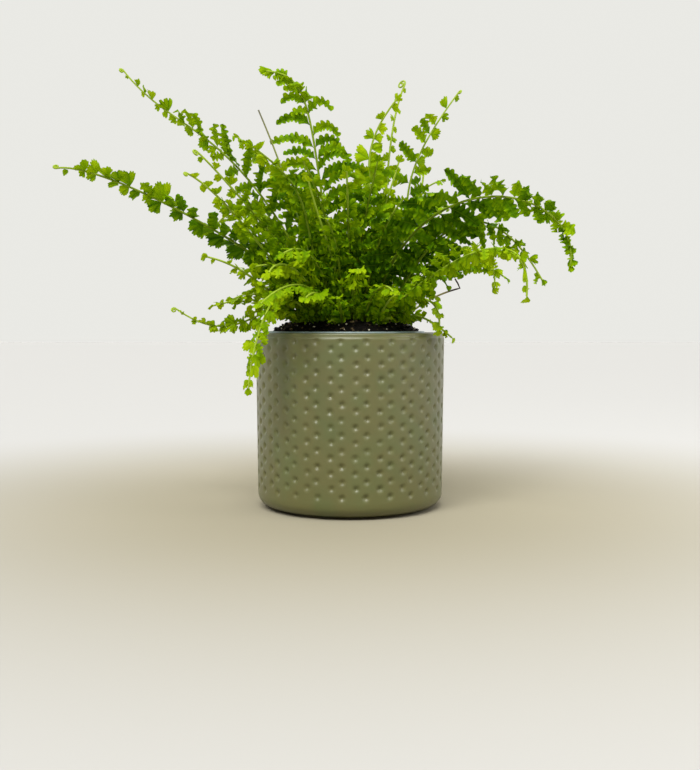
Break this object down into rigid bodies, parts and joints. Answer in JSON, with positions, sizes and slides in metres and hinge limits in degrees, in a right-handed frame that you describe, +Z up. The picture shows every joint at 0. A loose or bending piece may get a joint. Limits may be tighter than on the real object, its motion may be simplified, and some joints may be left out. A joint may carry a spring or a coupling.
{
  "type": "potted boston fern",
  "caption": "Ruffled fern with arching fronds, growing in a nursery pot of soil inside a round dimpled ceramic cover pot.",
  "frame": {"origin": "centre of the flat foot of the cover pot", "axes": "+Z up along the pot's axis; -Y towards the side that the picture shows; +X to the viewer's right"},
  "size_m": [0.3178, 0.2437, 0.3013],
  "materials": {
    "sage_glaze": "satin",
    "nursery_plastic": "matte",
    "potting_soil": "matte",
    "leaf_bright": "satin",
    "leaf_mid": "satin",
    "leaf_deep": "satin",
    "dry_stem": "matte"
  },
  "bodies": {
    "root": {"bare_stem": "leaf_mid", "cover_pot": "sage_glaze", "dry_twig": "dry_stem", "frond_crown_tall": "leaf_mid", "frond_far_long_1": "leaf_mid", "frond_far_long_2": "leaf_mid", "frond_far_long_3": "leaf_mid", "frond_far_long_4": "leaf_mid", "frond_far_middle_1": "leaf_deep", "frond_far_middle_2": "leaf_mid", "frond_far_middle_3": "leaf_mid", "frond_far_middle_4": "leaf_mid", "frond_far_middle_5": "leaf_mid", "frond_far_skirt_1": "leaf_deep", "frond_far_skirt_2": "leaf_mid", "frond_far_skirt_3": "leaf_mid", "frond_far_skirt_4": "leaf_deep", "frond_far_skirt_5": "leaf_deep", "frond_front_heart": "leaf_mid", "frond_front_left": "leaf_bright", "frond_front_low_left": "leaf_bright", "frond_front_low_mid": "leaf_bright", "frond_front_low_right": "leaf_bright", "frond_front_mid": "leaf_mid", "frond_front_right": "leaf_deep", "frond_front_star": "leaf_bright", "frond_heart_1": "leaf_deep", "frond_heart_2": "leaf_bright", "frond_heart_3": "leaf_deep", "frond_heart_4": "leaf_deep", "frond_heart_5": "leaf_deep", "frond_left_behind": "leaf_mid", "frond_left_curl": "leaf_bright", "frond_left_heart": "leaf_mid", "frond_left_long": "leaf_deep", "frond_left_low": "leaf_bright", "frond_left_second": "leaf_mid", "frond_left_shade": "leaf_deep", "frond_left_short": "leaf_bright", "frond_left_skirt": "leaf_bright", "frond_left_tall": "leaf_mid", "frond_mid_left": "leaf_mid", "frond_right_bent": "leaf_bright", "frond_right_far": "leaf_bright", "frond_right_hook": "leaf_bright", "frond_right_lean": "leaf_mid", "frond_right_long": "leaf_deep", "frond_right_mid": "leaf_mid", "frond_right_second": "leaf_deep", "frond_right_tall": "leaf_bright", "frond_right_third": "leaf_bright", "frond_right_wisp": "leaf_bright", "frond_rim_droop": "leaf_bright", "frond_sprout_left": "leaf_bright", "frond_sprout_mid": "leaf_mid", "frond_sprout_right": "leaf_bright", "nursery_pot": "nursery_plastic", "potting_soil": "potting_soil"}
  },
  "joints": []
}
